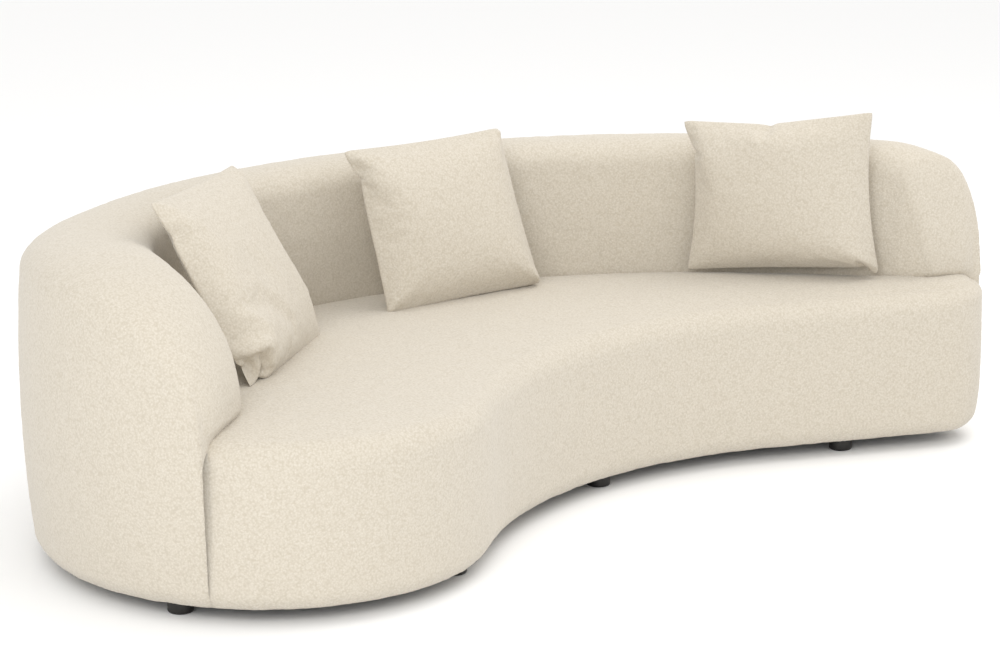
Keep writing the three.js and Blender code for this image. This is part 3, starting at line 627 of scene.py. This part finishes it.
def build_seat():
    count = int((front.length + 2 * SEAT_ENDS) / CELL)
    along = np.linspace(-SEAT_ENDS, front.length + SEAT_ENDS, count)
    inside = np.clip(along, 0, front.length)
    tight = np.clip((along - front.length + END_REACH) / END_REACH, 0, 1) ** 0.8
    wide = seat_profile(SEAT_ROUND)
    narrow = resampled(seat_profile(END_ROUND), len(wide))
    place = front.at(along)
    rows = []
    groove = sum(SEAM_GROOVE * np.exp(-(d / SEAM_WIDTH) ** 2) for d in (along, front.length - along))
    for a, b in zip(wide, narrow):
        inset, z = a[0] + (b[0] - a[0]) * tight, a[1] + (b[1] - a[1]) * tight
        bulge = FRONT_SWELL * np.clip(1 - ((z - SWELL_CENTRE) / SWELL_HALF) ** 2, 0, 1)
        inset = inset + end_tuck(np.abs(front.length - along), z)
        px, py = beside(place, inset - bulge + groove * (z < SEAT_Z - 0.004))
        rows.append(np.stack([px, py, z], axis=1))
    fx, fy = beside(place, SEAT_ROUND + (END_ROUND - SEAT_ROUND) * tight)
    share = inside / front.length
    back_s = share * outline.length
    bx, by, bh = wall_at(back_s)
    reach = -thickness(back_s)
    bx, by = bx - reach * np.sin(bh), by + reach * np.cos(bh)
    extra = along - inside
    bx = bx - extra * np.where(extra < 0, -math.cos(SEAM_HEADING), math.cos(outline.end[2]))
    by = by - extra * np.where(extra < 0, -math.sin(SEAM_HEADING), math.sin(outline.end[2]))
    direction = np.stack([bx - fx, by - fy], axis=1)
    length = np.linalg.norm(direction, axis=1)
    crown = CROWN_LEFT + (CROWN_RIGHT - CROWN_LEFT) * share
    for share_across in np.linspace(0, 1, 130)[1:]:
        distance = share_across * (length + UNDER_BACK)
        px = fx + direction[:, 0] / length * distance
        py = fy + direction[:, 1] / length * distance
        to_back = np.clip(length - distance, 0, None)
        middle = np.abs(2 * np.clip(distance / length, 0, 1) - 1)
        lift = crown * np.clip(1 - middle ** (3 + 3 * tight), 0, 1)
        near = np.clip(1 - to_back / CREASE_WIDTH, 0, 1)
        drop = CREASE * (1 - np.sqrt(np.clip(1 - near**2, 0, 1)))
        rows.append(np.stack([px, py, SEAT_Z + lift - drop], axis=1))
    points = np.stack(rows, axis=1)
    normals = grid_normals(points)
    middle = normals[points.shape[0] // 2, -60]
    if middle[2] < 0:
        normals = -normals
    points = points + normals * nubs(points, 21, 0.0004)[:, :, None]
    faces = grid_faces(*points.shape[:2], flip=True)
    return make_object("seat_upholstery", points.reshape(-1, 3), faces, SHELL_CLOTH)


back = build_back()
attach(back, "sofa")
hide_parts("back_cover", *[name for name in frame["nodes"] if name.startswith("back_foam")])

seat = build_seat()
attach(seat, "sofa")
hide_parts("seat_cover", *[name for name in frame["nodes"] if name.startswith("seat_foam")])

# ------------------------------------------------------------------ pillows

PATTERN_WIDTH, PATTERN_HEIGHT = 0.530, 0.510  # the flat squares of cloth, before they are filled
PATTERN_CELLS = 54
PATTERN_BLUNT = 55  # the higher, the sharper the pattern's corners
LOFT = 0.012  # filling at the start
FILLED = 0.0175  # cubic metres at which the filling stops
PILLOW_FRONT, PILLOW_REAR = 0.080, 0.044  # how far each side stands out from the seam

# how far each corner is pulled from the square's own: right, back and up along the pillow
PILLOW_CORNERS = {
    "left": dict(
        low_left=(-0.085, -0.010, -0.034),
        low_right=(0.016, 0.010, 0.002),
        high_right=(0.012, 0, 0.006),
        high_left=(-0.030, 0, 0.020),
    ),
    "middle": dict(
        low_left=(0.028, 0.035, 0.010),
        low_right=(0.042, 0.035, 0.018),
        high_right=(-0.018, 0, 0.004),
        high_left=(-0.020, 0, 0.006),
    ),
    "right": dict(
        low_left=(-0.008, 0.025, 0.016),
        low_right=(0.036, 0.030, 0.026),
        high_right=(-0.004, 0, 0.022),
        high_left=(-0.026, 0, -0.012),
    ),
}
SIDE_PULL = {"left": 0.03, "middle": 0.025, "right": 0.085}  # how far the sides draw in, as shares
TOP_PULL = 0.030
CRUMPLE_PLACE, CRUMPLE_REACH = (-0.262, -0.252), 0.045  # on the pattern
CRUMPLE_PUSH, CRUMPLE_FRAMES = (0.055, 0.0, 0.040), 22
LAST_FRAME = 60


def pillow_pattern(seed):
    """Two squares of cloth sewn together round their edge."""
    n = PATTERN_CELLS + 1
    u, v = np.meshgrid(np.linspace(-1, 1, n), np.linspace(-1, 1, n), indexing="ij")
    around = (np.abs(u) ** PATTERN_BLUNT + np.abs(v) ** PATTERN_BLUNT) ** (1 / PATTERN_BLUNT)
    shrink = np.maximum(np.abs(u), np.abs(v)) / np.maximum(around, 1e-9)
    shrink[around == 0] = 1
    x, z = PATTERN_WIDTH / 2 * u * shrink, PATTERN_HEIGHT / 2 * v * shrink
    body = LOFT * np.sqrt(np.clip((1 - u**2) * (1 - v**2), 0, 1))
    front_layer = np.stack([x, -body, z], axis=2).reshape(-1, 3)
    rear_layer = np.stack([x, body, z], axis=2).reshape(-1, 3)
    inner = np.flatnonzero(((np.abs(u) < 1) & (np.abs(v) < 1)).ravel())
    match = np.arange(n * n)
    match[inner] = n * n + np.arange(len(inner))
    points = np.concatenate([front_layer, rear_layer[inner]])
    points[:, 1] += np.random.default_rng(seed).uniform(-1, 1, len(points)) * 0.0006
    faces = np.concatenate([grid_faces(n, n, flip=True), match[grid_faces(n, n)]])
    return points, faces


def volume(points, faces):
    a, b, c, d = (points[faces[:, k]] for k in range(4))
    return (np.einsum("ij,ij->i", a, np.cross(b, c)) + np.einsum("ij,ij->i", a, np.cross(c, d))).sum() / 6


def cloth_points(obj):
    shape = obj.evaluated_get(bpy.context.evaluated_depsgraph_get()).data
    points = np.empty(len(shape.vertices) * 3)
    shape.vertices.foreach_get("co", points)
    return points.reshape(-1, 3)


def push_corner(obj, settings, points):
    """The arm pushes one low corner in: it is held and moved while the cloth fills."""
    near = np.hypot(points[:, 0] - CRUMPLE_PLACE[0], points[:, 2] - CRUMPLE_PLACE[1]) < CRUMPLE_REACH
    group = obj.vertex_groups.new(name="corner")
    group.add(np.flatnonzero(near).tolist(), 1.0, "REPLACE")
    settings.vertex_group_mass = "corner"
    obj.shape_key_add(name="Basis")
    pushed = obj.shape_key_add(name="pushed")
    moved = points + near[:, None] * np.array(CRUMPLE_PUSH)
    pushed.data.foreach_set("co", moved.ravel())
    for value, moment in ((0, 1), (1, CRUMPLE_FRAMES)):
        pushed.value = value
        pushed.keyframe_insert("value", frame=moment)


def fill_pillow(points, faces, crumpled):
    """Blows the sewn squares up as cloth until they hold the filling."""
    obj = make_object("pattern", points, faces)
    cloth = obj.modifiers.new("cloth", "CLOTH")
    settings = cloth.settings
    settings.quality, settings.mass, settings.air_damping = 6, 0.3, 8
    settings.tension_stiffness = settings.compression_stiffness = 50
    settings.shear_stiffness, settings.bending_stiffness = 14, 2
    settings.tension_damping = settings.compression_damping = settings.shear_damping = 15
    settings.bending_damping = 2
    settings.use_pressure, settings.uniform_pressure_force = True, 2
    settings.effector_weights.gravity = 0
    cloth.collision_settings.use_collision = False
    if crumpled:
        push_corner(obj, settings, points)
    cloth.point_cache.frame_start, cloth.point_cache.frame_end = 1, LAST_FRAME
    for moment in range(1, LAST_FRAME + 1):
        bpy.context.scene.frame_set(moment)
        filled = cloth_points(obj)
        if volume(filled, faces) > FILLED and not (crumpled and moment < CRUMPLE_FRAMES):
            break
    bpy.context.scene.frame_set(1)
    bpy.data.objects.remove(obj)
    return filled


def shape_pillow(points, spec, corners, side_pull):
    """Sets the depth of both sides, pulls the sides in and the corners to their places."""
    x, y, z = points.T
    x = x - (x.max() + x.min()) / 2
    z = z - (z.max() + z.min()) / 2
    u, v = x / x.max(), z / z.max()
    depth = np.where(y < 0, PILLOW_FRONT / -y.min(), PILLOW_REAR / y.max())
    x = u * CUSHION_WIDTH / 2 * (1 - side_pull * np.clip(1 - v**2, 0, 1))
    z = v * spec["height"] / 2 * (1 - TOP_PULL * np.clip(1 - u**2, 0, 1))
    shaped = np.stack([x, y * depth, z], axis=1)
    right, up = ((1 + u) / 2)[:, None], ((1 + v) / 2)[:, None]
    low = np.array(corners["low_left"]) * (1 - right) + np.array(corners["low_right"]) * right
    high = np.array(corners["high_left"]) * (1 - right) + np.array(corners["high_right"]) * right
    return shaped + low * (1 - up) + high * up


def build_pillow(name, spec, seed):
    points, faces = pillow_pattern(seed)
    points = fill_pillow(points, faces, crumpled=name == "left")
    points = shape_pillow(points, spec, PILLOW_CORNERS[name], SIDE_PULL[name])
    obj = make_object(f"pillow_{name}_cover", points, faces, PILLOW_CLOTH)
    smooth = obj.modifiers.new("smooth", "SUBSURF")
    smooth.levels = smooth.render_levels = 1
    place = (
        Matrix.Translation((spec["x"], spec["y"], SEAT_Z + CUSHION_GAP))
        @ Matrix.Rotation(math.radians(spec["turn"]), 4, "Z")
        @ Matrix.Rotation(-math.radians(spec["lean"]), 4, "X")
        @ Matrix.Translation((0, 0, spec["height"] / 2))
    )
    obj.matrix_world = place
    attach(obj, f"pillow_{name}")
    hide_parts(f"pillow_cover_{name}", f"pillow_filling_{name}")


for seed, (name, spec) in enumerate(CUSHIONS.items(), start=31):
    build_pillow(name, spec, seed)

# ------------------------------------------------------------------ feet


FOOT_EASE, FOOT_WAIST, FOOT_BORE = 0.006, 0.0006, 0.006
FOOT_SIDES = 64


def build_foot(name):
    """Short turned foot with an eased lower edge, a little slimmer under the base."""
    lo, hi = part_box(name)
    radius, height = (hi.x - lo.x) / 2, hi.z - lo.z
    centre = (lo + hi) / 2
    flat, slim = radius - FOOT_EASE, radius - FOOT_WAIST
    profile = [(0.0, 0.0), (radius * 0.6, 0.0), (flat, 0.0)]
    for a in np.linspace(0.2, math.pi / 2, 7):
        profile.append((flat + FOOT_EASE * math.sin(a), FOOT_EASE - FOOT_EASE * math.cos(a)))
    profile += [(radius, height * 0.45), (slim, height * 0.8), (slim, height), (FOOT_BORE, height)]
    angle = np.linspace(0, 2 * math.pi, FOOT_SIDES, endpoint=False)
    points = np.array([[(r * math.cos(a), r * math.sin(a), z) for a in angle] for r, z in profile])
    points = points + np.array([centre.x, centre.y, 0])
    faces = []
    for i in range(len(profile) - 1):
        low, high = i * FOOT_SIDES, (i + 1) * FOOT_SIDES
        for j in range(FOOT_SIDES):
            k = (j + 1) % FOOT_SIDES
            faces.append((low + j, low + k, high + k, high + j))
    title = name.replace("foot", "turned_foot")
    obj = make_object(title, points.reshape(-1, 3), np.array(faces), BLACK_WOOD)
    weld = obj.modifiers.new("weld", "WELD")
    weld.merge_threshold = 1e-6
    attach(obj, "sofa")
    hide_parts(name)


for number in range(1, 8):
    build_foot(f"foot_{number}")

# ------------------------------------------------------------------ floor, light, camera

floor_material = bpy.data.materials.new("floor")
tree, shader = nodes_of(floor_material)
mottle = node(tree, "ShaderNodeTexNoise", {"Scale": 1.5, "Detail": 3}).outputs["Fac"]
pale = ramp(tree, mottle, [(0.3, (0.93, 0.93, 0.93, 1)), (0.7, (0.95, 0.95, 0.95, 1))])
tree.links.new(pale, shader.inputs["Base Color"])
shader.inputs["Roughness"].default_value = 0.9
shader.inputs["Specular IOR Level"].default_value = 0.1
HALF = 60  # half of the floor's side
corners = np.array([(-HALF, -HALF, 0), (HALF, -HALF, 0), (HALF, HALF, 0), (-HALF, HALF, 0)], float)
floor = make_object("floor", corners, [(0, 1, 2, 3)], floor_material, smooth=False)

world = bpy.data.worlds.new("studio")
bpy.context.scene.world = world
world.use_nodes = True
world.node_tree.nodes["Background"].inputs["Color"].default_value = (1.0, 0.995, 0.985, 1)
world.node_tree.nodes["Background"].inputs["Strength"].default_value = 1.0


def soft_light(name, place, target, size, power, color):
    data = bpy.data.lights.new(name, "AREA")
    data.shape, data.size, data.energy, data.color = "SQUARE", size, power, color
    obj = bpy.data.objects.new(name, data)
    bpy.context.scene.collection.objects.link(obj)
    obj.location = place
    obj.rotation_euler = (Vector(target) - Vector(place)).to_track_quat("-Z", "Y").to_euler()


soft_light("key", (-4.9, -4.0, 3.3), (-0.2, 0.0, 0.4), 3.5, 172, (0.96, 0.98, 1.0))
soft_light("top", (2.4, -0.8, 4.6), (-0.6, 0.3, 0.5), 3.5, 80, (1.0, 0.98, 0.95))

CAMERA_PLACE = (-5.1634, -5.7737, 2.3710)
CAMERA_HEADING, CAMERA_DOWN, CAMERA_ROLL = 42.2, 13.46, -0.28
data = bpy.data.cameras.new("camera")
data.sensor_width = 36
data.lens = 3.0808 * data.sensor_width
data.shift_y = -0.0457
camera = bpy.data.objects.new("camera", data)
bpy.context.scene.collection.objects.link(camera)
camera.matrix_world = (
    Matrix.Translation(CAMERA_PLACE)
    @ Matrix.Rotation(-math.radians(CAMERA_HEADING), 4, "Z")
    @ Matrix.Rotation(math.radians(90 - CAMERA_DOWN), 4, "X")
    @ Matrix.Rotation(math.radians(CAMERA_ROLL), 4, "Z")
)
data.clip_end = 200
bpy.context.scene.camera = camera
bpy.context.scene.view_settings.view_transform = "Standard"
